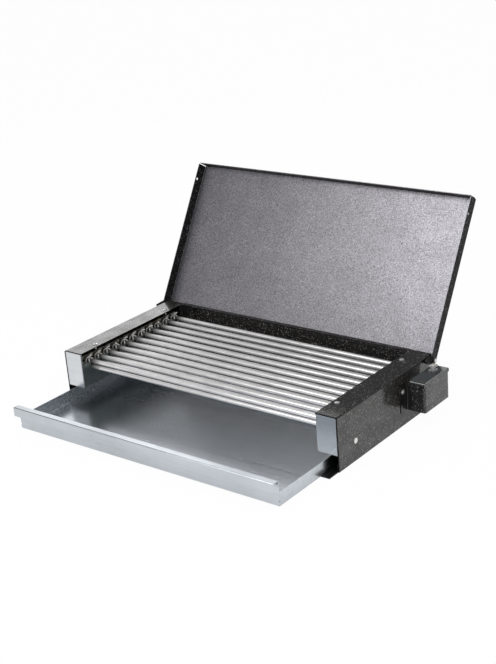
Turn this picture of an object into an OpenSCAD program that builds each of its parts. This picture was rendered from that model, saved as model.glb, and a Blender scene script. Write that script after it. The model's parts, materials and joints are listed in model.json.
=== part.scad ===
// Electric table grill: a sheet steel body with eleven hairpin heating elements,
// a drip tray that slides out at the front and a lid hinged at the rear corners.
// It is drawn with the lid open and the tray pulled part way out.
// The origin is the middle of the body on the surface it stands on; +Y is the rear.

/* [Body] */
// Width over the two side panels
body_w = 500; // [420:5:600]
// Depth of the side panels
body_d = 246; // [226:2:320]
// Height of the side panels
body_h = 80; // [78:1:100]
// Thickness of the painted sheet
panel_t = 1.2; // [0.8:0.1:1.6]
// Outer radius of the painted folds
panel_bend = 2; // [1.8:0.1:3]
// Width of the top flange of a side panel
flange_w = 34; // [32:1:44]
// Width of the top flange of the rear wall
rear_flange_w = 10; // [6:1:12]
// Reach of the base plate in front of the side panels
base_reach = 21; // [8:1:40]
// Height of the folded edges of the base plate
base_edge_h = 12; // [6:1:16]
// Radius of the rear top corners of the side panels
panel_corner_r = 3; // [2.5:0.5:6]

/* [Channels] */
// Thickness of the galvanised sheet
channel_t = 0.8; // [0.6:0.1:1.2]
// Height of the underside of a channel above the table
channel_z = 24; // [23:1:28]
// Outer radius of the galvanised folds
channel_bend = 1.5; // [1.3:0.1:2.2]
// Width of the lip that the top screws hold
channel_lip_w = 16; // [14:1:18]
// Height of the edge that the side rivets hold
channel_edge_h = 12; // [11:1:14]

/* [Heating elements] */
// Outside diameter of the element tube
element_d = 6.5; // [6:0.1:7]
// Distance from one element to the next
element_pitch = 20; // [16:1:30]
// Height of the upper legs above the table
element_z = 61; // [60:1:62]
// Distance between the upper and the lower leg
leg_gap = 9; // [8:0.5:9]
// Distance from the outside of a side panel to the end of the straight legs
element_inset = 18; // [17.5:0.1:18.5]
// Least distance from the front edge to the first element
element_margin = 23; // [22:1:30]
// Diameter of the clip wire
clip_wire_d = 1.2; // [0.8:0.1:1.4]

/* [Drip tray] */
// Width of the tray
tray_w = 474; // [400:2:480]
// Length of the tray, front to back
tray_l = 240; // [200:2:240]
// Thickness of the tray sheet
tray_t = 0.8; // [0.6:0.1:1]
// Outer radius of the folds of the tray
tray_bend = 1.5; // [1.2:0.1:2.2]
// Height of the side and rear walls
tray_wall_h = 20; // [14:1:20]
// Height of the front wall
tray_front_h = 37.5; // [28:0.5:44]
// Depth of the lip that serves as the handle
lip_d = 10.5; // [8:0.5:16]
// Height of the turned down edge of the lip
lip_h = 13.5; // [8:0.5:16]
// Distance that the tray is drawn out
tray_out = 114.5; // [0:0.5:200]

/* [Lid] */
// Thickness of the lid sheet
lid_t = 1; // [0.8:0.1:1.2]
// Depth of the flanges of the lid
lid_flange = 18; // [14:1:22]
// Outer radius of the folds of the lid
lid_bend = 2; // [1.8:0.1:3]
// Angle of the open lid, measured from closed
lid_open = 121; // [0:1:121]
// Gap between the side panels and the side flanges of the lid
lid_side_gap = 4; // [3.5:0.1:5]
// Gap between the side panels and the front flange of the lid
lid_front_gap = 3; // [2:0.5:8]
// Diameter of the hinge bolts
bolt_d = 5; // [4:0.5:5]

/* [Control box] */
// Distance from the side panel to the box
box_standoff = 11; // [8:0.5:16]
// Width of the box
box_w = 24; // [23:1:30]
// Depth of the box
box_d = 66; // [60:1:76]
// Height of the box with its cover
box_h = 46; // [43:1:48]
// Height of the bottom of the box above the table
box_z = 25; // [22:1:26]
// Distance from the rear of the body to the rear of the box
box_inset = 15; // [12:1:24]
// Thickness of the box sheet
box_t = 1; // [0.8:0.1:1.2]
// Outer radius of the upright edges of the box
box_bend = 3; // [2:0.5:4]
// Outer radius of the folds of the cover
cover_bend = 4.5; // [3:0.5:5]
// Height of the folded edges of the cover
cover_edge_h = 10; // [9:0.5:12]
// Bore of the cable gland
gland_bore = 7.2; // [6:0.1:8]

/* [Hidden] */
$fn = 48;

// Amount by which a cutting tool runs past what it cuts
over = 1;
// Radial clearance of a running hinge bolt, of a plain hole, and the gap between seated pieces
run_clear = 0.05;
hole_clear = 0.15;
seat_gap = 0.3;

// Body
half_w = body_w / 2;
half_d = body_d / 2;
panel_in = half_w - panel_t;
flange_in = half_w - flange_w;
flange_under = body_h - panel_t;
rear_in = half_d - panel_t;

// Fasteners of the body
fastener_inset = 41;
fastener_y = half_d - fastener_inset;
screw_d = 3;
screw_head_d = 7;
screw_head_h = 1.4;
screw_l = 7;
recess_w = 0.7;
recess_depth = 0.8;
recess_share = 0.57;
dome_share = 0.6;
flange_screw_inset = 8;
rivet_d = 4;
rivet_head_d = 8;
rivet_head_h = 1.2;
rivet_rise = 6;

// Channels
channel_inset = 0.5;
channel_front = -half_d + channel_inset;
window_margin = 10;
window_setback = 2;
wire_hole_margin = 0.5;

// Elements, clips and terminals
element_r = element_d / 2;
element_count = floor((body_d - 2 * element_margin) / element_pitch) + 1;
element_x = half_w - element_inset;
lower_z = element_z - leg_gap;
leg_heights = [element_z, lower_z];
element_last_y = (element_count - 1) / 2 * element_pitch;
clip_inset = 24;
clip_x = -half_w + clip_inset;
clip_half_x = 4.2;
clip_clear = 0.1;
clip_r = element_r + clip_clear + clip_wire_d / 2;
clip_lift = clip_wire_d + clip_clear;
clip_turns = 2;
clip_rings = 32;
clip_sides = 6;
bead_d = 5.4;
bead_l = 4;
pin_d = 3;
pin_l = 9.2;
busbar_t = 1;
busbar_h = 6;
busbar_end = 5;
nut_af = 5.5;
nut_t = 2.4;
ring_t = 0.8;
ring_d = 6;
tongue_w = 3;
barrel_d = 4;
barrel_l = 5;
barrel_start = 5.2;
bead_end = -element_x - bead_l;
busbar_end_x = bead_end - busbar_t;

// Wires, their duct and bushing
wire_d = 2.6;
wire_pitch = 4;
duct_z = 40;
duct_h = 9;
duct_depth = 11;
duct_front = rear_in - duct_depth;
wire_z = duct_z + duct_h / 2;
wire_rear_y = rear_in - wire_pitch;
wire_bend_x = panel_in - wire_pitch;
bushing_d = 13;
bushing_neck_d = 9.5;
bushing_neck_l = 2.2;
bushing_bore = 7.6;
bushing_share = 0.47;

// Hinge
pivot_inset = 6;
pivot_drop = 8;
pivot_y = half_d - pivot_inset;
pivot_z = body_h - pivot_drop;
bolt_head_d = 8.8;
bolt_head_h = 3.2;
bolt_tip = 0.6;
spacer_d = 11;
washer_d = 10;
washer_t = 0.8;
hinge_nut_af = 8;
hinge_nut_t = 2.4;

// Lid, drawn closed and turned about the pivot
lid_seat = screw_head_h + hole_clear;
lid_under = body_h + lid_seat;
lid_top = lid_under + lid_t;
lid_half = half_w + lid_side_gap + lid_t;
lid_front = -half_d - lid_front_gap - lid_t;
lid_tail = 3.5;
latch_hole_d = 4.5;
latch_hole_inset = 27;
latch_hole_drop = 13.5;
hub_r = 8;
ear_fore = 6;
ear_drop = 23;
ear_back = 4.5;
heel_back = 8.5;
heel_drop = 19;

// Places along X of what is stacked on a hinge bolt
spacer_end = half_w + lid_side_gap - seat_gap;
washer_x = lid_half + seat_gap;
hinge_nut_x = washer_x + washer_t;

// Drip tray
tray_z = panel_t + seat_gap;
tray_half = tray_w / 2;
tray_closed_y = channel_front - seat_gap - tray_t;
tray_y = tray_closed_y - tray_out;
tray_notch_d = 2.4;
tray_notch_z = 8;

// Control box and its bracket
box_x = half_w + box_standoff;
box_far = box_x + box_w;
box_rear = half_d - box_inset;
box_front = box_rear - box_d;
box_rim = box_z + box_h - box_t;
box_mid_x = (box_x + box_far) / 2;
bushing_y = box_front + bushing_share * box_d;
cover_top = box_rim + box_t;
cover_corner_r = 5;
cover_screw_d = 2.5;
cover_screw_l = 5;
cover_screw_head_d = 5;
cover_screw_head_h = 1.2;
cover_screw_rise = 2.8;
cover_screw_z = cover_top - cover_edge_h + cover_screw_rise;
bracket_t = 1.2;
bracket_bend = 2;
bracket_bottom = 21;
bracket_h = 36;
bracket_web_inset = 8;
bracket_web_y = box_front + bracket_web_inset;
bracket_flange_w = 18;
bracket_foot_w = 14;
bracket_front = bracket_web_y + bracket_t - bracket_flange_w;
bracket_screw_inset = 11;
bracket_screw_drop = 4.5;
bracket_screw_y = bracket_web_y - bracket_screw_inset;
bracket_screw_z = bracket_bottom + bracket_h - bracket_screw_drop;
bracket_rivet_d = 3;
bracket_rivet_head_d = 5.5;
bracket_rivet_h = 0.9;
bracket_rivet_inset = 8;
bracket_rivet_y = bracket_web_y + bracket_rivet_inset;
bracket_rivet_pitch = 16;
tongue_h = 18;
slot_clear = 0.3;

// Inside the control box; the terminal block hangs on the far wall and the wires meet its face
block_w = 13;
block_l = 28;
block_h = 16;
block_poles = 3;
block_groove = 1.5;
block_screw_d = 3.6;
block_screw_head = 1;
block_face = box_far - box_t - block_w;
block_y = bushing_y - block_l / 2;
block_z = wire_z - block_h / 2;
pole = block_l / block_poles;
stud_d = 4;
stud_tip = 1;
stud_x_inset = 6;
stud_y_inset = 12;
stud_x = box_x + stud_x_inset;
stud_y = box_rear - stud_y_inset;
stud_nut_af = 7;
stud_nut_t = 3;
wing_hub_d = 7.5;
wing_hub_h = 4;
wing_t = 1.6;
wing_r = 1.8;
wing_reach = 5;
wing_rise = 1.2;
wing_turn = 40;
gland_thread_d = 12;
gland_collar_af = 15;
gland_collar_l = 3.5;
gland_dome_d = 12.6;
gland_dome_l = 4.5;
gland_tail = 4;
gland_nut_af = 16;
gland_nut_t = 2.6;
gland_inset = 13.5;
gland_x = box_far - gland_inset;
gland_rise = 20;
gland_z = box_z + gland_rise;

// Middle of element number i
function element_y(i) = i * element_pitch - element_last_y;
// Diameter over the corners of a hexagon that is af wide
function hex_d(af) = af / cos(30);

// A block from one corner to the other
module slab(low, high) {
    translate(low) cube(high - low);
}

// A round bar along X, Y or Z, from one place to another
module bar_x(x0, x1, y, z, d) {
    translate([x0, y, z]) rotate([0, 90, 0]) cylinder(d = d, h = x1 - x0);
}
module bar_y(y0, y1, x, z, d) {
    translate([x, y0, z]) rotate([-90, 0, 0]) cylinder(d = d, h = y1 - y0);
}
module bar_z(z0, z1, x, y, d) {
    translate([x, y, z0]) cylinder(d = d, h = z1 - z0);
}

// A wire with round corners through a list of places
module wire(route, d) {
    for (i = [1:len(route) - 1]) {
        step = route[i] - route[i - 1];
        turn = atan2(step[1], step[0]);
        fall = acos(step[2] / norm(step));
        translate(route[i - 1]) rotate([0, fall, turn]) cylinder(d = d, h = norm(step));
    }
    for (i = [1:len(route) - 2]) translate(route[i]) sphere(d = d);
}

// The section of a sheet folded once, its outer corner at zero and its legs along +x and +y
module fold_section(leg_x, leg_y, t, r) {
    translate([r, 0]) square([leg_x - r, t]);
    translate([0, r]) square([t, leg_y - r]);
    intersection() {
        square(r);
        translate([r, r]) difference() {
            circle(r);
            circle(r - t);
        }
    }
}

// The section of what comes off an edge to round it, the edge at zero and the body along +x and +y
module round_section(r) {
    difference() {
        translate([-over, -over]) square(r + over);
        translate([r, r]) circle(r);
    }
}

// A section that runs along Y: its zero lies at x, z, and sx, sz give the direction of its axes
module along_y(x, z, y0, y1, sx, sz) {
    translate([x, y1, z]) rotate([90, 0, 0]) linear_extrude(y1 - y0) scale([sx, sz]) children();
}

// The same along X
module along_x(y, z, x0, x1, sy, sz) {
    translate([x0, y, z]) rotate([90, 0, 90]) linear_extrude(x1 - x0) scale([sy, sz]) children();
}

// A folded sheet that runs along Y
module fold_along_y(x, z, y0, y1, leg_x, leg_z, t, r, sx, sz) {
    along_y(x, z, y0, y1, sx, sz) fold_section(leg_x, leg_z, t, r);
}

// A folded sheet that runs along X
module fold_along_x(y, z, x0, x1, leg_y, leg_z, t, r, sy, sz) {
    along_x(y, z, x0, x1, sy, sz) fold_section(leg_y, leg_z, t, r);
}

// What is the same on the left and on the right
module both_sides() {
    children();
    mirror([1, 0, 0]) children();
}

// A row of copies, one at each element
module at_elements() {
    for (i = [0:element_count - 1]) translate([0, element_y(i), 0]) children();
}

// A screw along +Z with a domed head: the head's seat is at zero and the shank points down
module pan_screw(d, l, head_d, head_h) {
    rise = dome_share * head_h;
    dome_r = (head_d * head_d / 4 + rise * rise) / (2 * rise);
    recess = recess_share * head_d / 2;
    difference() {
        union() {
            intersection() {
                cylinder(d = head_d, h = head_h);
                translate([0, 0, head_h - dome_r]) sphere(dome_r);
            }
            translate([0, 0, -l]) cylinder(d = d, h = l);
        }
        for (a = [0, 90]) rotate([0, 0, a])
            slab([-recess, -recess_w / 2, head_h - recess_depth], [recess, recess_w / 2, head_h + over]);
    }
}

// A hexagon nut along +Z
module hex_nut(af, t, bore) {
    difference() {
        cylinder(d = hex_d(af), h = t, $fn = 6);
        translate([0, 0, -over]) cylinder(d = bore, h = t + 2 * over);
    }
}

module base_plate() {
    color([0.1, 0.1, 0.1]) {
        slab([-panel_in, -half_d - base_reach, 0], [panel_in, rear_in, panel_t]);
        both_sides() slab([panel_in - panel_t, -half_d, 0], [panel_in, rear_in, base_edge_h]);
        slab([-panel_in, rear_in - panel_t, 0], [panel_in, rear_in, base_edge_h]);
    }
}

// A side panel without the holes that only one side has; its rear corner lets the lid swing past
module side_sheet() {
    difference() {
        fold_along_y(half_w, body_h, -half_d, half_d, flange_w, body_h, panel_t, panel_bend, -1, -1);
        along_x(half_d, body_h, flange_in - over, half_w + over, -1, -1) round_section(panel_corner_r);
        for (s = [-1, 1]) {
            bar_z(flange_under - over, body_h + over, flange_in + flange_screw_inset, s * fastener_y,
                screw_d + 2 * hole_clear);
            bar_x(panel_in - over, half_w + over, s * fastener_y, channel_z + rivet_rise,
                rivet_d + 2 * hole_clear);
        }
        bar_x(panel_in - over, half_w + over, pivot_y, pivot_z, bolt_d + 2 * hole_clear);
    }
}

module side_panel_left() {
    color([0.12, 0.11, 0.11]) mirror([1, 0, 0]) side_sheet();
}

module side_panel_right() {
    color([0.12, 0.11, 0.11]) difference() {
        side_sheet();
        bar_x(panel_in - over, half_w + over, bushing_y, wire_z, bushing_neck_d + 2 * hole_clear);
        bar_x(panel_in - over, half_w + over, bracket_screw_y, bracket_screw_z, screw_d + 2 * hole_clear);
        slab([panel_in - over, bracket_front - slot_clear, bracket_bottom - slot_clear],
            [half_w + over, bracket_front + bracket_t + slot_clear, bracket_bottom + tongue_h + slot_clear]);
    }
}

module rear_wall() {
    color([0.1, 0.1, 0.1]) {
        slab([-panel_in, rear_in, 0], [panel_in, half_d, body_h - panel_bend]);
        both_sides() slab([flange_in, rear_in, 0], [panel_in, half_d, flange_under]);
        fold_along_x(half_d, body_h, -flange_in, flange_in, rear_flange_w, panel_bend + panel_t,
            panel_t, panel_bend, -1, -1);
    }
}

// A channel on the right: inner wall, lip, bottom, front end and the edge for the rivets
module channel_sheet() {
    difference() {
        union() {
            fold_along_y(flange_in, channel_z, channel_front + channel_bend, rear_in, panel_in - flange_in,
                flange_under - channel_z, channel_t, channel_bend, 1, 1);
            slab([flange_in, channel_front + channel_bend, flange_under - channel_t],
                [flange_in + channel_lip_w, rear_in, flange_under]);
            slab([panel_in - channel_t, channel_front + channel_t, channel_z],
                [panel_in, rear_in, channel_z + channel_edge_h]);
            translate([0, 0, channel_z]) linear_extrude(flange_under - channel_z)
                translate([flange_in, channel_front])
                fold_section(panel_in - flange_in, channel_bend + channel_t, channel_t, channel_bend);
            slab([flange_in + channel_bend, channel_front, channel_z],
                [panel_in, channel_front + channel_bend, channel_z + channel_t]);
        }
        for (s = [-1, 1]) {
            bar_z(flange_under - channel_t - over, flange_under + over, flange_in + flange_screw_inset,
                s * fastener_y, screw_d + 2 * hole_clear);
            bar_x(panel_in - channel_t - over, panel_in + over, s * fastener_y, channel_z + rivet_rise,
                rivet_d + 2 * hole_clear);
        }
        slab([flange_in - over, duct_front + wire_hole_margin, duct_z + wire_hole_margin],
            [flange_in + channel_t + over, rear_in - wire_hole_margin, duct_z + duct_h - wire_hole_margin]);
    }
}

// The opening above the comb of the left channel, with one notch for each element; it reaches
// from the front end to the lip under the flange, which is set back
module comb_cut() {
    slab([-flange_in - window_setback, channel_front + channel_bend + channel_t, element_z],
        [-flange_in + over, element_last_y + window_margin, flange_under + over]);
    at_elements() {
        slab([-flange_in - channel_t - over, -element_r - hole_clear, lower_z],
            [-flange_in + over, element_r + hole_clear, element_z + over]);
        bar_x(-flange_in - channel_t - over, -flange_in + over, 0, lower_z, element_d + 2 * hole_clear);
    }
}

module channel_left() {
    color([0.72, 0.75, 0.78]) difference() {
        mirror([1, 0, 0]) channel_sheet();
        comb_cut();
    }
}

module channel_right() {
    color([0.62, 0.67, 0.73]) difference() {
        channel_sheet();
        at_elements() {
            for (z = leg_heights)
                bar_x(flange_in - over, flange_in + channel_t + over, 0, z, element_d + 2 * hole_clear);
            slab([flange_in - over, -element_r - hole_clear, lower_z],
                [flange_in + channel_t + over, element_r + hole_clear, element_z]);
        }
    }
}

module heating_elements() {
    color([0.85, 0.85, 0.85]) at_elements() {
        for (z = leg_heights) bar_x(-element_x, element_x, 0, z, element_d);
        translate([element_x, 0, element_z - leg_gap / 2]) rotate([90, 0, 0]) rotate([0, 0, -90])
            rotate_extrude(angle = 180) translate([leg_gap / 2, 0]) circle(d = element_d);
    }
}

// Where the clip wire is at angle a of its two turns round both legs; it crosses itself on top
function clip_place(a) = let (r = clip_r + clip_lift / 2 * (1 - cos(a / clip_turns - 45)))
    [clip_half_x * sin(a / clip_turns - 45), r * cos(a), r * sin(a) + sign(sin(a)) * leg_gap / 2];

// The corners of the wire's section at angle a
function clip_ring(a, step) = let (
        run = clip_place(a + step / 2) - clip_place(a - step / 2),
        along = run / norm(run),
        radial = [0, cos(a), sin(a)],
        across = radial - (radial * along) * along,
        u = across / norm(across),
        v = cross(along, u))
    [for (i = [0:clip_sides - 1])
        clip_place(a) + clip_wire_d / 2 * (cos(i * 360 / clip_sides) * u + sin(i * 360 / clip_sides) * v)];

// A closed wire tie round the two legs of one element
module clip() {
    step = clip_turns * 360 / clip_rings;
    rings = [for (i = [0:clip_rings - 1]) clip_ring((i + 1 / 2) * step, step)];
    function at(i, j) = (i % clip_rings) * clip_sides + j % clip_sides;
    polyhedron(points = [for (r = rings) each r],
        faces = [for (i = [0:clip_rings - 1], j = [0:clip_sides - 1], half = [0, 1])
            half == 0 ? [at(i, j), at(i + 1, j), at(i, j + 1)]
                : [at(i, j + 1), at(i + 1, j), at(i + 1, j + 1)]],
        convexity = 4);
}

module element_clips() {
    color([0.9, 0.9, 0.88]) at_elements() translate([clip_x, 0, element_z - leg_gap / 2]) clip();
}

module element_beads() {
    color([0.9, 0.88, 0.82]) at_elements() for (z = leg_heights) difference() {
        bar_x(bead_end, -element_x, 0, z, bead_d);
        bar_x(bead_end - over, -element_x + over, 0, z, pin_d + 2 * run_clear);
    }
}

module terminal_pins() {
    color([0.8, 0.8, 0.76]) at_elements() for (z = leg_heights)
        bar_x(-element_x - pin_l, -element_x, 0, z, pin_d);
}

module busbar(z) {
    color([0.8, 0.78, 0.7]) difference() {
        slab([busbar_end_x, -element_last_y - busbar_end, z - busbar_h / 2],
            [bead_end, element_last_y + busbar_end, z + busbar_h / 2]);
        at_elements() bar_x(busbar_end_x - over, bead_end + over, 0, z, pin_d + 2 * hole_clear);
    }
}

module busbar_upper() {
    busbar(element_z);
}

module busbar_lower() {
    busbar(lower_z);
}

module terminal_nuts() {
    color([0.8, 0.8, 0.76]) for (i = [0:element_count - 1], z = leg_heights) {
        seat = i == element_count - 1 ? busbar_end_x - ring_t : busbar_end_x;
        translate([seat, element_y(i), z]) rotate([0, -90, 0]) hex_nut(nut_af, nut_t, pin_d + 2 * run_clear);
    }
}

// Ring terminals on the rearmost pins, with barrels that take the wires
module ring_terminals() {
    x = busbar_end_x - ring_t / 2;
    color([0.75, 0.7, 0.5]) for (z = leg_heights) {
        difference() {
            union() {
                bar_x(busbar_end_x - ring_t, busbar_end_x, element_last_y, z, ring_d);
                slab([busbar_end_x - ring_t, element_last_y, z - tongue_w / 2],
                    [busbar_end_x, element_last_y + barrel_start, z + tongue_w / 2]);
            }
            bar_x(busbar_end_x - ring_t - over, busbar_end_x + over, element_last_y, z,
                pin_d + 2 * run_clear);
        }
        difference() {
            bar_y(element_last_y + barrel_start, element_last_y + barrel_start + barrel_l, x, z, barrel_d);
            bar_y(element_last_y + barrel_start + ring_t, element_last_y + barrel_start + barrel_l + over,
                x, z, wire_d + 2 * run_clear);
        }
    }
}

// Two wires from the terminal block, along the rear wall and up to the ring terminals
module supply_wires() {
    end_x = busbar_end_x - ring_t / 2;
    end_y = element_last_y + barrel_start + barrel_l / 2;
    color([0.85, 0.82, 0.75]) for (i = [0, 1]) {
        far_x = wire_bend_x - i * wire_pitch;
        duct_y = wire_rear_y - i * wire_pitch;
        pass_y = bushing_y + wire_pitch / 2 - i * wire_pitch;
        wire([[block_face, pass_y, wire_z], [far_x, pass_y, wire_z], [far_x, duct_y, wire_z],
            [end_x, duct_y, wire_z], [end_x, duct_y, leg_heights[i]], [end_x, end_y, leg_heights[i]]],
            wire_d);
    }
}

module wire_duct() {
    color([0.55, 0.58, 0.6]) {
        slab([-flange_in, duct_front - channel_t, duct_z - channel_t],
            [flange_in, duct_front, duct_z + duct_h + channel_t]);
        for (z = [duct_z - channel_t, duct_z + duct_h])
            slab([-flange_in, duct_front - channel_t, z], [flange_in, rear_in, z + channel_t]);
    }
}

module wire_bushing() {
    color([0.85, 0.83, 0.78]) difference() {
        union() {
            bar_x(half_w, box_x, bushing_y, wire_z, bushing_d);
            bar_x(half_w - bushing_neck_l, box_x + bushing_neck_l, bushing_y, wire_z, bushing_neck_d);
        }
        bar_x(half_w - bushing_neck_l - over, box_x + bushing_neck_l + over, bushing_y, wire_z,
            bushing_bore);
    }
}

module flange_screws() {
    color([0.75, 0.75, 0.75]) both_sides() for (s = [-1, 1])
        translate([flange_in + flange_screw_inset, s * fastener_y, body_h])
        pan_screw(screw_d, screw_l, screw_head_d, screw_head_h);
}

module side_rivets() {
    color([0.7, 0.7, 0.7]) both_sides() for (s = [-1, 1]) {
        y = s * fastener_y;
        z = channel_z + rivet_rise;
        bar_x(panel_in - channel_t - rivet_head_h, half_w + rivet_head_h, y, z, rivet_d);
        bar_x(half_w, half_w + rivet_head_h, y, z, rivet_head_d);
        bar_x(panel_in - channel_t - rivet_head_h, panel_in - channel_t, y, z, rivet_head_d);
    }
}

module hinge_bolts() {
    color([0.7, 0.7, 0.7]) both_sides() {
        bar_x(panel_in - bolt_head_h, panel_in, pivot_y, pivot_z, bolt_head_d);
        bar_x(panel_in - bolt_head_h, hinge_nut_x + hinge_nut_t + bolt_tip, pivot_y, pivot_z, bolt_d);
    }
}

module hinge_spacers() {
    color([0.6, 0.6, 0.6]) both_sides() difference() {
        bar_x(half_w, spacer_end, pivot_y, pivot_z, spacer_d);
        bar_x(half_w - over, spacer_end + over, pivot_y, pivot_z, bolt_d + 2 * hole_clear);
    }
}

module hinge_washers() {
    color([0.2, 0.2, 0.2]) both_sides() difference() {
        bar_x(washer_x, hinge_nut_x, pivot_y, pivot_z, washer_d);
        bar_x(washer_x - over, hinge_nut_x + over, pivot_y, pivot_z, bolt_d + 2 * hole_clear);
    }
}

module hinge_nuts() {
    color([0.2, 0.2, 0.2]) both_sides() translate([hinge_nut_x, pivot_y, pivot_z]) rotate([0, 90, 0])
        hex_nut(hinge_nut_af, hinge_nut_t, bolt_d + 2 * run_clear);
}

// Height of the lower (s = -1) and the upper (s = 1) rivet of the bracket
function bracket_rivet_z(s) = bracket_bottom + bracket_h / 2 + s * bracket_rivet_pitch / 2;

// A folded strip: a flange on the panel with a tongue in its slot, a web, and a foot on the box
module bracket() {
    half_web = box_standoff / 2 + bracket_t;
    color([0.1, 0.1, 0.1]) difference() {
        union() {
            translate([0, 0, bracket_bottom]) linear_extrude(bracket_h) {
                translate([half_w, bracket_web_y + bracket_t]) scale([1, -1])
                    fold_section(half_web, bracket_flange_w, bracket_t, bracket_bend);
                translate([box_x, bracket_web_y]) scale([-1, 1])
                    fold_section(half_web, bracket_foot_w, bracket_t, bracket_bend);
            }
            slab([panel_in + hole_clear, bracket_front, bracket_bottom],
                [half_w + bracket_t / 2, bracket_front + bracket_t, bracket_bottom + tongue_h]);
        }
        bar_x(half_w - over, half_w + bracket_t + over, bracket_screw_y, bracket_screw_z,
            screw_d + 2 * hole_clear);
        for (s = [-1, 1]) bar_x(box_x - bracket_t - over, box_x + over, bracket_rivet_y, bracket_rivet_z(s),
            bracket_rivet_d + 2 * hole_clear);
    }
}

module bracket_screw() {
    color([0.8, 0.8, 0.8]) translate([half_w + bracket_t, bracket_screw_y, bracket_screw_z])
        rotate([0, 90, 0]) pan_screw(screw_d, screw_l, screw_head_d, screw_head_h);
}

module bracket_rivets() {
    color([0.7, 0.7, 0.7]) for (s = [-1, 1]) {
        z = bracket_rivet_z(s);
        left = box_x - bracket_t;
        bar_x(left - bracket_rivet_h, box_x + box_t + bracket_rivet_h, bracket_rivet_y, z, bracket_rivet_d);
        bar_x(left - bracket_rivet_h, left, bracket_rivet_y, z, bracket_rivet_head_d);
        bar_x(box_x + box_t, box_x + box_t + bracket_rivet_h, bracket_rivet_y, z, bracket_rivet_head_d);
    }
}

// The outline of the box with its round upright edges, drawn in by d
module box_outline(d) {
    r = box_bend - d;
    x0 = box_x + d;
    x1 = box_far - d;
    y0 = box_front + d;
    y1 = box_rear - d;
    translate([x0 + r, y0]) square([x1 - x0 - 2 * r, y1 - y0]);
    translate([x0, y0 + r]) square([x1 - x0, y1 - y0 - 2 * r]);
    for (x = [x0 + r, x1 - r], y = [y0 + r, y1 - r]) translate([x, y]) circle(r);
}

// The open box; its side walls are rounded to fit into the folds of the cover
module control_box() {
    color([0.3, 0.3, 0.3]) difference() {
        translate([0, 0, box_z]) linear_extrude(box_h - box_t) box_outline(0);
        translate([0, 0, box_z + box_t]) linear_extrude(box_h) box_outline(box_t);
        along_x(box_front, box_rim, box_x - over, box_far + over, 1, -1) round_section(cover_bend - box_t);
        along_x(box_rear, box_rim, box_x - over, box_far + over, -1, -1) round_section(cover_bend - box_t);
        bar_x(box_x - over, box_x + box_t + over, bushing_y, wire_z, bushing_neck_d + 2 * hole_clear);
        for (s = [-1, 1]) bar_x(box_x - over, box_x + box_t + over, bracket_rivet_y, bracket_rivet_z(s),
            bracket_rivet_d + 2 * hole_clear);
        bar_y(box_rear - box_t - over, box_rear + over, gland_x, gland_z, gland_thread_d + 2 * hole_clear);
        cover_screw_hole();
    }
}

module cover_screw_hole() {
    bar_y(box_front - box_t - over, box_rear + box_t + over, box_mid_x, cover_screw_z,
        cover_screw_d + 2 * hole_clear);
}

// The top cover, folded down over the front and the rear wall of the box
module control_cover() {
    leg = box_d / 2 + 2 * box_t;
    low = cover_top - cover_edge_h;
    y0 = box_front - box_t;
    y1 = box_rear + box_t;
    color([0.4, 0.44, 0.42]) difference() {
        union() {
            fold_along_x(y0, cover_top, box_x, box_far, leg, cover_edge_h, box_t, cover_bend, 1, -1);
            fold_along_x(y1, cover_top, box_x, box_far, leg, cover_edge_h, box_t, cover_bend, -1, -1);
        }
        along_y(box_x, low, y0 - over, y1 + over, 1, 1) round_section(cover_corner_r);
        along_y(box_far, low, y0 - over, y1 + over, -1, 1) round_section(cover_corner_r);
        cover_screw_hole();
        bar_z(box_rim - over, cover_top + over, stud_x, stud_y, stud_d + 2 * hole_clear);
    }
}

module cover_screws() {
    color([0.2, 0.2, 0.2]) {
        translate([box_mid_x, box_front - box_t, cover_screw_z]) rotate([90, 0, 0])
            pan_screw(cover_screw_d, cover_screw_l, cover_screw_head_d, cover_screw_head_h);
        translate([box_mid_x, box_rear + box_t, cover_screw_z]) rotate([-90, 0, 0])
            pan_screw(cover_screw_d, cover_screw_l, cover_screw_head_d, cover_screw_head_h);
    }
}

module terminal_block() {
    top = block_z + block_h;
    color([0.9, 0.88, 0.8]) difference() {
        slab([block_face, block_y, block_z], [block_face + block_w, block_y + block_l, top]);
        for (i = [1:block_poles - 1])
            slab([block_face - over, block_y + i * pole - block_groove / 2, top - block_groove],
                [block_face + block_w + over, block_y + i * pole + block_groove / 2, top + over]);
        for (i = [0:block_poles - 1]) bar_z(block_z + block_h / 2, top + over, block_face + block_w / 2,
            block_y + (i + 1 / 2) * pole, block_screw_d + 2 * hole_clear);
    }
}

module block_screws() {
    color([0.8, 0.7, 0.4]) for (i = [0:block_poles - 1])
        bar_z(block_z + block_h / 2, block_z + block_h + block_screw_head, block_face + block_w / 2,
            block_y + (i + 1 / 2) * pole, block_screw_d);
}

// The stud is held in the cover between its nut, inside the box, and the wing nut on top
module earth_stud() {
    color([0.8, 0.8, 0.78]) bar_z(box_rim - stud_nut_t - stud_tip, cover_top + wing_hub_h + stud_tip,
        stud_x, stud_y, stud_d);
}

module earth_nut() {
    color([0.8, 0.7, 0.4]) translate([stud_x, stud_y, box_rim - stud_nut_t])
        hex_nut(stud_nut_af, stud_nut_t, stud_d + 2 * run_clear);
}

// One wing of the wing nut on the side s, seen along Y
module wing_profile(s) {
    translate([s * wing_reach, wing_rise + wing_r]) circle(wing_r);
    polygon([[0, 0], [s * wing_reach, wing_rise], [s * wing_reach, wing_rise + 2 * wing_r],
        [0, wing_hub_h]]);
}

module wing_nuts() {
    color([0.85, 0.85, 0.85]) translate([stud_x, stud_y, cover_top]) rotate([0, 0, wing_turn])
        difference() {
        union() {
            cylinder(d = wing_hub_d, h = wing_hub_h);
            for (s = [-1, 1]) along_y(0, 0, -wing_t / 2, wing_t / 2, 1, 1) wing_profile(s);
        }
        translate([0, 0, -over]) cylinder(d = stud_d + 2 * run_clear, h = wing_hub_h + 2 * over);
    }
}

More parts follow.
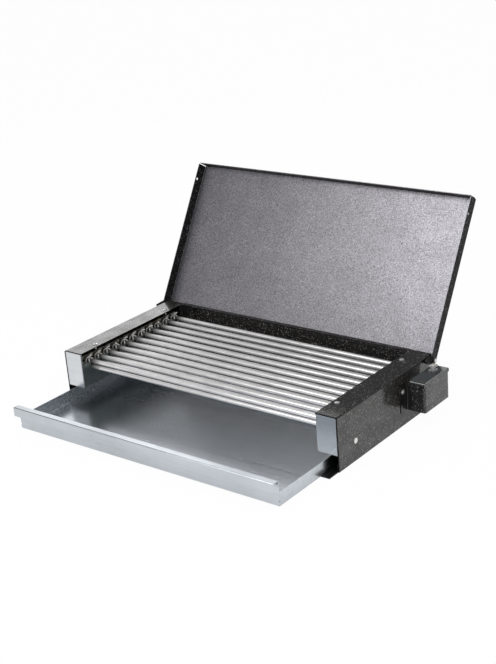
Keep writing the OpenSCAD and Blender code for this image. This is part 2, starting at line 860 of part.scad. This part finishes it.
module cable_gland() {
    color([0.15, 0.15, 0.15]) translate([gland_x, box_rear, gland_z]) rotate([-90, 0, 0]) difference() {
        union() {
            translate([0, 0, -box_t - gland_tail])
                cylinder(d = gland_thread_d, h = box_t + gland_tail + over);
            rotate([0, 0, 30]) cylinder(d = hex_d(gland_collar_af), h = gland_collar_l, $fn = 6);
            cylinder(d = gland_dome_d, h = gland_collar_l + gland_dome_l);
        }
        translate([0, 0, -box_t - gland_tail - over])
            cylinder(d = gland_bore, h = box_t + gland_tail + gland_collar_l + gland_dome_l + 2 * over);
    }
}

module gland_nut() {
    color([0.2, 0.2, 0.2]) translate([gland_x, box_rear - box_t, gland_z]) rotate([90, 30, 0])
        hex_nut(gland_nut_af, gland_nut_t, gland_thread_d + 2 * run_clear);
}

// The tray at its drawn out place: floor, side walls, rear wall, tall front wall and handle lip
module drip_tray() {
    floor_top = tray_z + tray_t;
    wall_top = tray_z + tray_wall_h;
    front_top = tray_z + tray_front_h;
    front_in = tray_y + tray_t;
    rear = tray_y + tray_l;
    color([0.7, 0.73, 0.76]) difference() {
        union() {
            slab([-tray_half + tray_bend, tray_y + tray_bend, tray_z],
                [tray_half - tray_bend, rear, floor_top]);
            both_sides() fold_along_y(tray_half, tray_z, front_in, rear, tray_bend + tray_t, tray_wall_h,
                tray_t, tray_bend, -1, 1);
            fold_along_x(tray_y, tray_z, -tray_half + tray_t, tray_half - tray_t, tray_bend + tray_t,
                tray_front_h - tray_bend, tray_t, tray_bend, 1, 1);
            slab([-tray_half + tray_t, rear - tray_t, tray_z + tray_bend],
                [tray_half - tray_t, rear, wall_top]);
            slab([-tray_half + tray_bend, rear - tray_t, tray_z],
                [tray_half - tray_bend, rear, wall_top]);
            both_sides() slab([tray_half - tray_t, tray_y, tray_z + tray_bend],
                [tray_half, front_in, wall_top]);
            fold_along_x(tray_y + tray_t, front_top, -tray_half, tray_half, lip_d / 2 + tray_t,
                tray_front_h - tray_bend, tray_t, tray_bend, -1, -1);
            fold_along_x(tray_y - lip_d, front_top, -tray_half, tray_half, lip_d / 2 + tray_t, lip_h,
                tray_t, tray_bend, 1, -1);
        }
        both_sides() bar_y(tray_y - over, front_in, tray_half, tray_z + tray_notch_z, tray_notch_d);
    }
}

// The side flange of the closed lid, seen along X: a strip, a round hub and the ear below it
module lid_side_profile() {
    translate([lid_front + lid_bend, lid_top - lid_flange])
        square([pivot_y + lid_tail - lid_front - lid_bend, lid_flange - lid_bend]);
    translate([pivot_y, pivot_z]) {
        circle(hub_r);
        polygon([[-ear_fore, lid_top - lid_flange - pivot_z], [ear_back, -ear_drop], [heel_back, -heel_drop],
            [hub_r, 0], [0, hub_r / 2]]);
    }
}

module lid_closed() {
    rear = pivot_y + lid_tail;
    slab([-lid_half + lid_bend, lid_front + lid_bend, lid_under], [lid_half - lid_bend, rear, lid_top]);
    fold_along_x(lid_front, lid_top, -lid_half + lid_bend, lid_half - lid_bend, 2 * lid_bend, lid_flange,
        lid_t, lid_bend, 1, -1);
    both_sides() fold_along_y(lid_half, lid_top, lid_front + lid_bend, rear, 2 * lid_bend, lid_flange,
        lid_t, lid_bend, -1, -1);
    both_sides() translate([lid_half - lid_t, 0, 0]) rotate([90, 0, 90]) linear_extrude(lid_t)
        lid_side_profile();
}

module lid() {
    color([0.45, 0.45, 0.46]) translate([0, pivot_y, pivot_z]) rotate([-lid_open, 0, 0])
        translate([0, -pivot_y, -pivot_z]) difference() {
        lid_closed();
        bar_x(-lid_half - over, lid_half + over, lid_front + latch_hole_inset, lid_top - latch_hole_drop,
            latch_hole_d);
        bar_x(-lid_half - over, lid_half + over, pivot_y, pivot_z, bolt_d + 2 * run_clear);
    }
}

base_plate();
side_panel_left();
side_panel_right();
rear_wall();
channel_left();
channel_right();
heating_elements();
element_clips();
element_beads();
terminal_pins();
busbar_upper();
busbar_lower();
terminal_nuts();
ring_terminals();
supply_wires();
wire_duct();
wire_bushing();
flange_screws();
side_rivets();
hinge_bolts();
hinge_spacers();
hinge_washers();
hinge_nuts();
wing_nuts();
bracket();
bracket_screw();
bracket_rivets();
control_box();
control_cover();
cover_screws();
terminal_block();
block_screws();
earth_stud();
earth_nut();
cable_gland();
gland_nut();
drip_tray();
lid();
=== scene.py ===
import json
import math
import random

import bpy
from mathutils import Matrix, Vector


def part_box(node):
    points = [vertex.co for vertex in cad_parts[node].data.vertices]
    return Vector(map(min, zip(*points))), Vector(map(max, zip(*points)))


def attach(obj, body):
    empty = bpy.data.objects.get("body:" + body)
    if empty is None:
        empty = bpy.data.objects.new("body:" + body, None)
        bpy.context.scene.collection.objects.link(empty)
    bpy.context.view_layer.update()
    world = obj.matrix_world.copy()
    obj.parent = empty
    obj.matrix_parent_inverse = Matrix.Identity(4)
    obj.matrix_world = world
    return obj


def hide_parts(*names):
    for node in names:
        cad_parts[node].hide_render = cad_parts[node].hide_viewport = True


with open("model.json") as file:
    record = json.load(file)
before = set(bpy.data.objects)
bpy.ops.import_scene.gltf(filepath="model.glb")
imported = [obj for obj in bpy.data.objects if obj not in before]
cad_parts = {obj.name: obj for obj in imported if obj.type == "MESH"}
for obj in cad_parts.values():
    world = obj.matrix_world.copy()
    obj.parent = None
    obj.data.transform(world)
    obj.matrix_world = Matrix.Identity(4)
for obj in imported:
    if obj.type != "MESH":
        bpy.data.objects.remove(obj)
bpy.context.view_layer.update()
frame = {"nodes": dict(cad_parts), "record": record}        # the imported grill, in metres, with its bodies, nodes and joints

# Camera: where the photograph was taken from, in degrees and metres from the middle of the body's front,
# and what its lens sees, in pixels of the photograph
CAMERA_AZIMUTH = 39.362
CAMERA_ELEVATION = 21.49
CAMERA_ROLL = -4.721
CAMERA_DISTANCE = 1.88025
CAMERA_RIGHT = 0.076695
CAMERA_UP = 0.144458
BODY_DEPTH = 0.246
FOCAL_PIXELS = 1309.854
IMAGE_LONG_SIDE = 664
SENSOR = 36.0

# Studio: floor and backdrop are white to the camera, dimmer where metal mirrors them, and dimmest overhead
FLOOR_SIZE = 60.0
FLOOR_ALBEDO = 0.85
FLOOR_SEEN_GLOW = 0.97
FLOOR_MIRRORED_GLOW = 0.55
WORLD_DIFFUSE = 0.55
BACKDROP_TOP = 0.38
CEILING_START = 0.50
CEILING = 0.22
WHITE = (1.0, 1.0, 1.0, 1.0)

# Softboxes: name, place, aim and size in metres, and power in watts
LAMPS = (
    ("key", (-0.42, -0.86, 1.17), (0.1, 0.1, 0.1), (0.66, 0.7), 8.0),
    ("top", (0.5, 0.1, 1.5), (0.0, 0.0, 0.0), (1.0, 1.0), 5.5),
    ("fill", (0.9, -1.0, 1.1), (0.0, 0.0, 0.05), (0.8, 0.8), 3.5),
    ("rim", (-1.2, 1.2, 0.75), (-0.1, 0.0, 0.0), (1.0, 1.0), 3.2),
)

# Directions on the part; the inner face of the lid looks this way when it stands open, as in the photograph
UP = (0.0, 0.0, 1.0)
LID_OPEN = math.radians(121.0)
LID_FACE = (0.0, -math.sin(LID_OPEN), -math.cos(LID_OPEN))

# Masks by direction: the cosines at which a surface starts to count as turned that way, and counts fully
LID_FACING = (0.80, 0.90)
TOP_FACING = (0.3, 0.6)
FOLD_FACING = (0.25, 0.6)
# The same for surfaces that face the middle of the part, times their distance from it in metres
INWARD_FACING = (0.10, 0.18)

# The left ends of the elements get a painted shade of the flange above them: dark up to the start and their
# own colour from the end on, in metres across
END_SHADE_START = -0.214
END_SHADE_END = -0.198

# Painted shade: the side panels' front edges are dark as bare cut edges with a painted shadow of the gap in
# front of them, and a painted shadow line runs along the folds at their tops; places in metres
EDGE_Y = -0.1214
FOLD_Z = 0.0780
EDGE_FADE = 0.0003

# The tray is darkened with a painted shade from its front part to the part under the elements, in metres
REAR_SHADE_START = -0.170
REAR_SHADE_END = -0.125
REAR_SHADE_SHARE = 0.28

# Metal flakes: cells in a metre, and the draws from which a cell starts to show as a flake and shows fully
COARSE_FLAKES = (1050.0, 0.80, 0.95)
FINE_FLAKES = (1350.0, 0.83, 0.96)

# Bump depths in metres
DIMPLE_DEPTH = 0.00013
PAINT_GRAIN_DEPTH = 0.000065
LEATHER_DEPTH = 0.00008
STREAK_DEPTH = 0.00001
DRAWING_DEPTH = 0.000008
PEEL_DEPTH = 0.00006
MATTE_DEPTH = 0.00005

# How much gloss and coat change over a surface, and the coat's share that is left on the cover's folds
GALVANISED_WAVER = 0.05
STEEL_WAVER = (-0.05, 0.08)
ENAMEL_WAVER = (-0.06, 0.08)
MATTE_WAVER = 0.08
FOLD_COAT = 0.4

# Wire ties on the elements, in metres and radians
ELEMENTS = 11
ELEMENT_R = 0.00325
TIE_WIRE_D = 0.0013
TIE_GAP = 0.0001
TIE_R = ELEMENT_R + TIE_WIRE_D / 2 + TIE_GAP
TIE_SLANT = 0.9
TIE_INSET = 0.0098
TIE_STRAY = 0.0004
TIE_SEED = 11
TIE_ROUNDING = 2
LOOP_STEPS = 36
LIFT_POWER = 6
TAIL_LENGTH = 0.0058
TAIL_TURNS = 2.0
TAIL_STEPS = 30
TAIL_AZIMUTH = (-1.0, 1.0)
TAIL_ELEVATION = (0.1, 0.6)


class Finish:
    """One material, and short ways to add the nodes that it is made of."""

    def __init__(self, name):
        self.material = bpy.data.materials.new(name)
        self.material.use_nodes = True
        self.tree = self.material.node_tree
        self.shader = self.tree.nodes["Principled BSDF"]
        coordinates = self.add("ShaderNodeTexCoord")
        self.place = coordinates.outputs["Object"]
        self.normal = coordinates.outputs["Normal"]

    def add(self, kind, inputs=None, **settings):
        """A node of this kind, with its settings, and its inputs set or linked by name or number."""
        node = self.tree.nodes.new(kind)
        for name, value in settings.items():
            setattr(node, name, value)
        for name, value in (inputs or {}).items():
            self.put(node.inputs[name], value)
        return node

    def put(self, socket, value):
        """Links another node's socket to this one, or gives this one a plain value."""
        if isinstance(value, bpy.types.NodeSocket):
            self.tree.links.new(value, socket)
        else:
            socket.default_value = value

    def set(self, **values):
        """Sets or links inputs of the shader, with spaces in their names written as _."""
        for name, value in values.items():
            self.put(self.shader.inputs[name.replace("_", " ")], value)

    def stretched(self, x, y, z):
        """The place on the part, multiplied along each axis."""
        return self.add("ShaderNodeMapping", {"Vector": self.place, "Scale": (x, y, z)}).outputs["Vector"]

    def noise(self, scale, detail=3.0, roughness=0.5, place=None):
        """Grey noise, with about this many features in a metre."""
        inputs = {"Vector": place or self.place, "Scale": scale, "Detail": detail, "Roughness": roughness}
        return self.add("ShaderNodeTexNoise", inputs).outputs["Fac"]

    def cells(self, scale, feature="F1", output="Color"):
        """A random colour for each cell, or another output, with about this many cells in a metre."""
        inputs = {"Vector": self.place, "Scale": scale}
        return self.add("ShaderNodeTexVoronoi", inputs, feature=feature).outputs[output]

    def ramp(self, value, *stops):
        """A colour or grey for each value: stops are (value, colour), with grey as one number."""
        node = self.add("ShaderNodeValToRGB", {"Fac": value})
        for element, (position, colour) in zip(node.color_ramp.elements, stops, strict=True):
            element.position = position
            element.color = (*colour, 1.0) if isinstance(colour, tuple) else (*grey(colour), 1.0)
        return node.outputs["Color"]

    def rise(self, value, low, high):
        """0 up to the low value, and 1 from the high one on."""
        return self.ramp(value, (low, 0.0), (high, 1.0))

    def flakes(self, scale, low, high):
        """1 on scattered metal flakes, and 0 between them."""
        return self.rise(self.cells(scale), low, high)

    def axis(self, vector, name):
        return self.add("ShaderNodeSeparateXYZ", {"Vector": vector}).outputs[name]

    def facing(self, direction, low, high):
        """1 where the surface faces this way on the part, and 0 elsewhere."""
        inputs = {0: self.normal, 1: direction}
        turned = self.add("ShaderNodeVectorMath", inputs, operation="DOT_PRODUCT").outputs["Value"]
        return self.rise(turned, low, high)

    def inward(self):
        """1 where the surface faces the middle of the part from its left or right, and 0 elsewhere."""
        outward = self.maths("MULTIPLY", self.axis(self.normal, "X"), self.axis(self.place, "X"))
        return self.rise(self.maths("MULTIPLY", outward, -1.0), *INWARD_FACING)

    def along(self, axis, start, end):
        """1 up to the start, and 0 from the end on, along one axis of the part."""
        inputs = {"Value": self.axis(self.place, axis), "From Min": start, "From Max": end,
                  "To Min": 1.0, "To Max": 0.0}
        return self.add("ShaderNodeMapRange", inputs).outputs["Result"]

    def maths(self, operation, *values):
        return self.add("ShaderNodeMath", dict(enumerate(values)), operation=operation).outputs["Value"]

    def mix(self, share, a, b):
        """The first colour where the share is 0, and the second where it is 1."""
        node = self.add("ShaderNodeMix", {"Factor": share}, data_type="RGBA")
        for socket, value in zip((node.inputs[6], node.inputs[7]), (a, b)):
            self.put(socket, (*value, 1.0) if isinstance(value, tuple) else value)
        return node.outputs[2]

    def bump(self, height, depth, under=None):
        """A normal that shows this height as relief of this depth, over another relief where given."""
        inputs = {"Height": height, "Distance": depth}
        if under:
            inputs["Normal"] = under
        return self.add("ShaderNodeBump", inputs).outputs["Normal"]


def grey(level):
    return (level, level, level)


def hammertone(name, dark, light, fleck, flakes):
    """Hammered paint: shallow dimples in dark lacquer, with metal flakes that glint, dark front edges with
    painted shade, and a painted shadow line along the top folds.
    """
    f = Finish(name)
    dimples = f.cells(520.0, feature="SMOOTH_F1", output="Distance")
    grain = f.noise(620.0, detail=4.0, roughness=0.7)
    cloud = f.noise(9.0, detail=4.0, roughness=0.6)
    smudge = f.noise(1.0, detail=5.0, roughness=0.65, place=f.stretched(60.0, 34.0, 60.0))
    body = f.mix(f.rise(grain, 0.36, 0.64), dark, light)
    shade = f.mix(f.ramp(cloud, (0.3, 0.0), (0.7, 0.35)), body, dark)
    paint = f.mix(f.flakes(*flakes), shade, fleck)
    # Painted shade: the front edges go dark as bare cut edges with the shadowed gap before them, and upright
    # faces above the fold height get a painted shadow line; both lose their coat
    side = f.maths("SUBTRACT", 1.0, f.facing(UP, *TOP_FACING))
    fold_shadow_line = f.maths("MULTIPLY", side, f.along("Z", FOLD_Z, FOLD_Z - EDGE_FADE))
    edge_and_fold_shade = f.maths("MAXIMUM", fold_shadow_line, f.along("Y", EDGE_Y, EDGE_Y + EDGE_FADE))
    coat = f.maths("MULTIPLY", f.ramp(smudge, (0.34, 0.5), (0.62, 1.0)), f.maths("SUBTRACT", 1.0, edge_and_fold_shade))
    f.set(Base_Color=f.mix(edge_and_fold_shade, paint, dark), Metallic=f.ramp(edge_and_fold_shade, (0.0, 0.2), (1.0, 1.0)))
    f.set(Roughness=f.ramp(cloud, (0.3, 0.34), (0.7, 0.44)), Specular_IOR_Level=0.3)
    f.set(Coat_Weight=coat, Coat_Roughness=0.10)
    f.set(Normal=f.bump(dimples, DIMPLE_DEPTH, under=f.bump(grain, PAINT_GRAIN_DEPTH)))
    return f.material


def lid_paint(name, dark, light, inner_dark, inner_light, fleck):
    """Dark hammered paint, with a fine grey leather grain on the inner face of the lid."""
    f = Finish(name)
    inner = f.facing(LID_FACE, *LID_FACING)
    grain = f.noise(520.0, detail=4.0, roughness=0.75)
    fine = f.noise(1100.0, detail=2.0)
    cloud = f.noise(7.0, detail=4.0, roughness=0.6)
    patch = f.noise(26.0, detail=4.0, roughness=0.6)
    pattern = f.maths("ADD", f.maths("MULTIPLY", grain, 0.7), f.maths("MULTIPLY", fine, 0.3))
    step = f.rise(pattern, 0.40, 0.60)
    glint = f.ramp(f.cells(1000.0), (0.76, 0.0), (0.92, 0.35))
    outer_colour = f.mix(step, dark, light)
    inner_colour = f.mix(step, inner_dark, inner_light)
    inner_colour = f.mix(f.ramp(patch, (0.35, 0.22), (0.60, 0.0)), inner_colour, inner_dark)
    f.set(Base_Color=f.mix(glint, f.mix(inner, outer_colour, inner_colour), fleck))
    f.set(Metallic=f.ramp(inner, (0.0, 0.05), (1.0, 0.90)), Specular_IOR_Level=0.06)
    f.set(Roughness=f.ramp(cloud, (0.3, 0.34), (0.7, 0.40)))
    f.set(Normal=f.bump(pattern, LEATHER_DEPTH))
    return f.material


def galvanised(name, dark, light, roughness, uneven, inward_shade=None, rear_shade=None):
    """Zinc coated sheet: faint spangle, streaks along the rolling direction and stains.

    Where asked, its inward sides are darkened with a painted shade, or it is darkened towards its rear with
    a painted shade under the elements.
    """
    f = Finish(name)
    spangle = f.cells(85.0)
    lines = f.noise(1.0, detail=5.0, roughness=0.65, place=f.stretched(3.0, 160.0, 160.0))
    cloud = f.noise(5.0)
    stain = f.noise(30.0, detail=6.0, roughness=0.7)
    tone = f.maths("ADD", f.maths("MULTIPLY", spangle, 0.06), f.maths("MULTIPLY", cloud, 0.70))
    tone = f.maths("ADD", tone, f.maths("MULTIPLY", lines, 0.34))
    colour = f.mix(f.ramp(stain, (0.66, 0.0), (0.80, 0.20)), f.ramp(tone, (0.35, dark), (0.75, light)), dark)
    # Painted shade on the sides that face the middle of the part
    if inward_shade:
        colour = f.mix(f.inward(), colour, inward_shade)
    # Painted shade, darker from the front part to the part under the elements
    if rear_shade:
        rear_shade_share = f.maths("MULTIPLY", f.along("Y", REAR_SHADE_END, REAR_SHADE_START), REAR_SHADE_SHARE)
        colour = f.mix(rear_shade_share, colour, rear_shade)
    rough, smooth = roughness + GALVANISED_WAVER, roughness - GALVANISED_WAVER
    f.set(Base_Color=colour, Metallic=1.0, Roughness=f.ramp(tone, (0.3, rough), (0.75, smooth)))
    f.set(Normal=f.bump(lines, STREAK_DEPTH, under=f.bump(cloud, uneven)))
    return f.material


def bright_steel(name, dark, light, metallic, roughness=0.16, streak=(6.0, 900.0, 900.0), shaded_end=None):
    """Polished metal with fine drawing lines and a little tarnish, and a painted shade on its left end where
    asked.
    """
    f = Finish(name)
    lines = f.noise(1.0, detail=4.0, roughness=0.7, place=f.stretched(*streak))
    cloud = f.noise(24.0, detail=5.0, roughness=0.65)
    colour = f.mix(f.rise(cloud, 0.35, 0.7), light, dark)
    colour = f.mix(f.ramp(lines, (0.40, 0.35), (0.62, 0.0)), colour, dark)
    # Painted shade where the left flange overhangs the element ends
    if shaded_end:
        colour = f.mix(f.along("X", END_SHADE_START, END_SHADE_END), colour, shaded_end)
    smooth, rough = (roughness + waver for waver in STEEL_WAVER)
    f.set(Base_Color=colour, Metallic=metallic, Roughness=f.ramp(lines, (0.3, smooth), (0.7, rough)))
    f.set(Normal=f.bump(lines, DRAWING_DEPTH))
    return f.material


def enamel(name, dark, light, roughness=0.3, coat=0.4, shaded_folds=None):
    """Smooth dark enamel with orange peel and fine dust.

    Where asked, its front and rear folds get dark paint with flakes, a painted dark reflection of the bends;
    the argument holds the two colours.
    """
    f = Finish(name)
    peel = f.noise(260.0, detail=2.0)
    cloud = f.noise(14.0, detail=5.0, roughness=0.6)
    dust = f.noise(1500.0, detail=1.0)
    colour = f.mix(f.rise(cloud, 0.35, 0.7), dark, light)
    colour = f.mix(f.ramp(dust, (0.72, 0.0), (0.80, 0.6)), colour, grey(0.4))
    # Painted dark reflection on the front and rear folds, in dark paint with flakes
    if shaded_folds:
        upright = f.rise(f.maths("ABSOLUTE", f.axis(f.normal, "Y")), *FOLD_FACING)
        colour = f.mix(upright, colour, f.mix(f.flakes(*FINE_FLAKES), *shaded_folds))
        coat = f.ramp(upright, (0.0, coat), (1.0, coat * FOLD_COAT))
    smooth, rough = (roughness + waver for waver in ENAMEL_WAVER)
    f.set(Base_Color=colour, Roughness=f.ramp(cloud, (0.3, smooth), (0.7, rough)))
    f.set(Coat_Weight=coat, Coat_Roughness=0.12)
    f.set(Normal=f.bump(peel, PEEL_DEPTH))
    return f.material


def matte(name, dark, light, roughness=0.7, grain=600.0):
    """Ceramic, moulded plastic or glass fibre sleeve: a fine grain in one tone."""
    f = Finish(name)
    fine = f.noise(grain)
    cloud = f.noise(45.0, detail=4.0)
    f.set(Base_Color=f.mix(f.rise(cloud, 0.3, 0.7), dark, light))
    f.set(Roughness=f.ramp(fine, (0.3, roughness - MATTE_WAVER), (0.7, roughness + MATTE_WAVER)))
    f.set(Normal=f.bump(fine, MATTE_DEPTH))
    return f.material


# One material for each slot of the record, with linear colours
FINISHES = {
    "black_enamel": enamel("black_enamel", grey(0.004), grey(0.009)),
    "hammertone": hammertone("hammertone", (0.005, 0.0045, 0.004), (0.017, 0.0155, 0.0145),
                             (0.48, 0.46, 0.44), COARSE_FLAKES),
    "lid_hammertone": lid_paint("lid_hammertone", grey(0.005), (0.012, 0.0115, 0.0115),
                                (0.092, 0.089, 0.096), (0.292, 0.284, 0.308), (0.50, 0.49, 0.53)),
    "hammertone_grey": hammertone("hammertone_grey", grey(0.004), grey(0.018), grey(0.58), FINE_FLAKES),
    "cover_grey": enamel("cover_grey", (0.028, 0.034, 0.035), (0.044, 0.051, 0.053),
                         roughness=0.2, coat=1.0, shaded_folds=(grey(0.004), grey(0.52))),
    "galvanised": galvanised("galvanised", (0.60, 0.625, 0.65), (0.80, 0.82, 0.845),
                             roughness=0.28, uneven=0.0006, inward_shade=(0.25, 0.28, 0.275)),
    "tray_galvanised": galvanised("tray_galvanised", (0.46, 0.49, 0.52), (0.63, 0.665, 0.71),
                                  roughness=0.26, uneven=0.0001, rear_shade=(0.24, 0.265, 0.27)),
    "stainless": bright_steel("stainless", (0.70, 0.69, 0.69), (0.93, 0.92, 0.92), 0.52,
                              roughness=0.17, streak=(3.0, 700.0, 700.0), shaded_end=(0.16, 0.165, 0.155)),
    "bright_wire": bright_steel("bright_wire", (0.94, 0.93, 0.91), (1.0, 0.99, 0.97), 0.25),
    "nickel": bright_steel("nickel", (0.45, 0.42, 0.36), (0.66, 0.62, 0.54), 0.7),
    "zinc": bright_steel("zinc", grey(0.72), (0.95, 0.95, 0.94), 0.75, roughness=0.14),
    "brass": bright_steel("brass", (0.62, 0.58, 0.50), (0.86, 0.83, 0.76), 0.4, roughness=0.2),
    "ceramic": matte("ceramic", (0.66, 0.62, 0.54), (0.80, 0.76, 0.68)),
    "wire_sleeve": matte("wire_sleeve", (0.60, 0.57, 0.50), (0.76, 0.73, 0.66), grain=1400.0),
    "black_screw": enamel("black_screw", grey(0.012), grey(0.03)),
    "black_plastic": matte("black_plastic", grey(0.012), grey(0.022), roughness=0.5),
}


def dress_nodes():
    """Gives every node of the frame the finish of its slot."""
    for row in frame["record"]["subparts"]:
        piece = frame["nodes"][row["node"]]
        piece.data.materials.clear()
        piece.data.materials.append(FINISHES[row["material_slot"]])


def direction(azimuth, elevation):
    """A unit vector, with its azimuth in radians from +X towards +Y."""
    level = math.cos(elevation)
    return Vector((math.cos(azimuth) * level, math.sin(azimuth) * level, math.sin(elevation)))


def tie_loop(x, y, side, upper, lower):
    """Points of one loop of wire round both legs of an element, slanting to one side across the top."""
    points = []
    for step in range(LOOP_STEPS):
        angle = math.tau * step / LOOP_STEPS
        across = TIE_R * math.cos(angle)
        rise = math.sin(angle)
        # The second wire of a tie is lifted over the first one where the two cross
        lift = math.copysign(TIE_WIRE_D * max(0.0, side) * rise ** LIFT_POWER, rise)
        centre = upper if rise >= 0 else lower
        points.append((x + side * TIE_SLANT * across, y + across, centre + TIE_R * rise + lift))
    return points


def tie_tail(start, azimuth, elevation, phase):
    """Points of one of the two wires twisted round each other at a tie's end."""
    axis = direction(azimuth, elevation)
    first = axis.orthogonal().normalized()
    second = axis.cross(first)
    points = []
    for step in range(TAIL_STEPS + 1):
        share = step / TAIL_STEPS
        turn = math.tau * TAIL_TURNS * share + phase
        wide = TIE_WIRE_D / 2 * (math.cos(turn) * first + math.sin(turn) * second)
        points.append(Vector(start) + TAIL_LENGTH * share * axis + wide)
    return points


def add_wire(curve, points, closed):
    spline = curve.splines.new("POLY")
    spline.points.add(len(points) - 1)
    for point, place in zip(spline.points, points):
        point.co = (*place, 1.0)
    spline.use_cyclic_u = closed


def add_ties():
    """Crossed wires with twisted ends, bound by hand round the left ends of the elements."""
    low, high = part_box("heating_elements")
    upper = high[2] - ELEMENT_R
    lower = low[2] + ELEMENT_R
    first = low[1] + ELEMENT_R
    pitch = (high[1] - low[1] - 2 * ELEMENT_R) / (ELEMENTS - 1)
    curve = bpy.data.curves.new("element_ties", "CURVE")
    curve.dimensions = "3D"
    curve.bevel_depth = TIE_WIRE_D / 2
    curve.bevel_resolution = TIE_ROUNDING
    curve.use_fill_caps = True
    draw = random.Random(TIE_SEED)
    for number in range(ELEMENTS):
        x = low[0] + TIE_INSET + draw.uniform(-TIE_STRAY, TIE_STRAY)
        y = first + number * pitch
        for side in (-1, 1):
            add_wire(curve, tie_loop(x, y, side, upper, lower), True)
        azimuth = draw.uniform(*TAIL_AZIMUTH)
        elevation = draw.uniform(*TAIL_ELEVATION)
        start = (x, y, upper + TIE_R + 2 * TIE_WIRE_D)
        for phase in (0.0, math.pi):
            add_wire(curve, tie_tail(start, azimuth, elevation, phase), False)
    ties = bpy.data.objects.new("element_ties", curve)
    bpy.context.scene.collection.objects.link(ties)
    curve.materials.append(FINISHES["bright_wire"])
    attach(ties, "body")
    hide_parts("element_clips")


def camera_axes():
    """The camera's right, up and backward directions."""
    azimuth, elevation, roll = (math.radians(a) for a in (CAMERA_AZIMUTH, CAMERA_ELEVATION, CAMERA_ROLL))
    back = direction(azimuth - math.pi / 2, elevation)
    level = direction(azimuth, 0.0)
    upright = back.cross(level)
    right = math.cos(roll) * level + math.sin(roll) * upright
    up = math.cos(roll) * upright - math.sin(roll) * level
    return right, up, back


def add_camera():
    right, up, back = camera_axes()
    data = bpy.data.cameras.new("camera")
    data.sensor_width = SENSOR
    data.lens = FOCAL_PIXELS * SENSOR / IMAGE_LONG_SIDE
    camera = bpy.data.objects.new("camera", data)
    front = Vector((0.0, -BODY_DEPTH / 2, 0.0))
    place = front + right * CAMERA_RIGHT + up * CAMERA_UP + back * CAMERA_DISTANCE
    camera.matrix_world = Matrix.Translation(place) @ Matrix((right, up, back)).transposed().to_4x4()
    bpy.context.scene.collection.objects.link(camera)
    bpy.context.scene.camera = camera


def background_share(tree, rays=("Is Camera Ray", "Is Glossy Ray", "Is Transmission Ray")):
    """1 for rays that should see the plain background: from the camera, or off metal and glass."""
    path = tree.nodes.new("ShaderNodeLightPath")
    total = path.outputs[rays[0]]
    for name in rays[1:]:
        more = tree.nodes.new("ShaderNodeMath")
        more.operation = "MAXIMUM"
        tree.links.new(total, more.inputs[0])
        tree.links.new(path.outputs[name], more.inputs[1])
        total = more.outputs["Value"]
    return total


def camera_share(tree):
    """1 for rays that come straight from the camera."""
    return background_share(tree, ("Is Camera Ray",))


def blend_range(tree, value, low, high, to_low, to_high):
    """The value carried from one range to another; the ends may be numbers or sockets."""
    node = tree.nodes.new("ShaderNodeMapRange")
    tree.links.new(value, node.inputs["Value"])
    for name, end in (("From Min", low), ("From Max", high), ("To Min", to_low), ("To Max", to_high)):
        if isinstance(end, bpy.types.NodeSocket):
            tree.links.new(end, node.inputs[name])
        else:
            node.inputs[name].default_value = end
    return node.outputs["Result"]


def add_world():
    """A plain backdrop: white to the camera, and soft light on the grill."""
    world = bpy.data.worlds.new("studio")
    world.use_nodes = True
    tree = world.node_tree
    background = tree.nodes["Background"]
    background.inputs["Color"].default_value = WHITE
    height = tree.nodes.new("ShaderNodeSeparateXYZ")
    tree.links.new(tree.nodes.new("ShaderNodeTexCoord").outputs["Generated"], height.inputs["Vector"])
    mirrored = blend_range(tree, height.outputs["Z"], BACKDROP_TOP, CEILING_START, 1.0, CEILING)
    seen = blend_range(tree, background_share(tree), 0.0, 1.0, WORLD_DIFFUSE, mirrored)
    strength = blend_range(tree, camera_share(tree), 0.0, 1.0, seen, 1.0)
    tree.links.new(strength, background.inputs["Strength"])
    bpy.context.scene.world = world


def add_floor():
    """A plain white floor that keeps a soft shadow of the grill."""
    mesh = bpy.data.meshes.new("floor")
    half = FLOOR_SIZE / 2
    corners = [(-half, -half, 0.0), (half, -half, 0.0), (half, half, 0.0), (-half, half, 0.0)]
    mesh.from_pydata(corners, [], [(0, 1, 2, 3)])
    floor = bpy.data.objects.new("floor", mesh)
    bpy.context.scene.collection.objects.link(floor)
    material = bpy.data.materials.new("floor")
    material.use_nodes = True
    tree = material.node_tree
    shader = tree.nodes["Principled BSDF"]
    shader.inputs["Base Color"].default_value = (*grey(FLOOR_ALBEDO), 1.0)
    shader.inputs["Roughness"].default_value = 1.0
    shader.inputs["Specular IOR Level"].default_value = 0.0
    glow = tree.nodes.new("ShaderNodeEmission")
    glow.inputs["Color"].default_value = WHITE
    mirrored = blend_range(tree, background_share(tree), 0.0, 1.0, 0.0, FLOOR_MIRRORED_GLOW)
    share = blend_range(tree, camera_share(tree), 0.0, 1.0, mirrored, FLOOR_SEEN_GLOW)
    mix = tree.nodes.new("ShaderNodeMixShader")
    tree.links.new(share, mix.inputs["Fac"])
    tree.links.new(shader.outputs["BSDF"], mix.inputs[1])
    tree.links.new(glow.outputs["Emission"], mix.inputs[2])
    tree.links.new(mix.outputs["Shader"], tree.nodes["Material Output"].inputs["Surface"])
    mesh.materials.append(material)


def add_softbox(name, place, aim, size, power):
    data = bpy.data.lights.new(name, "AREA")
    data.shape = "RECTANGLE"
    data.size, data.size_y = size
    data.energy = power
    lamp = bpy.data.objects.new(name, data)
    turn = (Vector(aim) - Vector(place)).to_track_quat("-Z", "Y")
    lamp.matrix_world = Matrix.Translation(place) @ turn.to_matrix().to_4x4()
    lamp.visible_camera = False
    bpy.context.scene.collection.objects.link(lamp)


add_camera()
dress_nodes()
add_ties()
add_world()
add_floor()
for lamp in LAMPS:
    add_softbox(*lamp)
bpy.context.scene.view_settings.view_transform = "Standard"
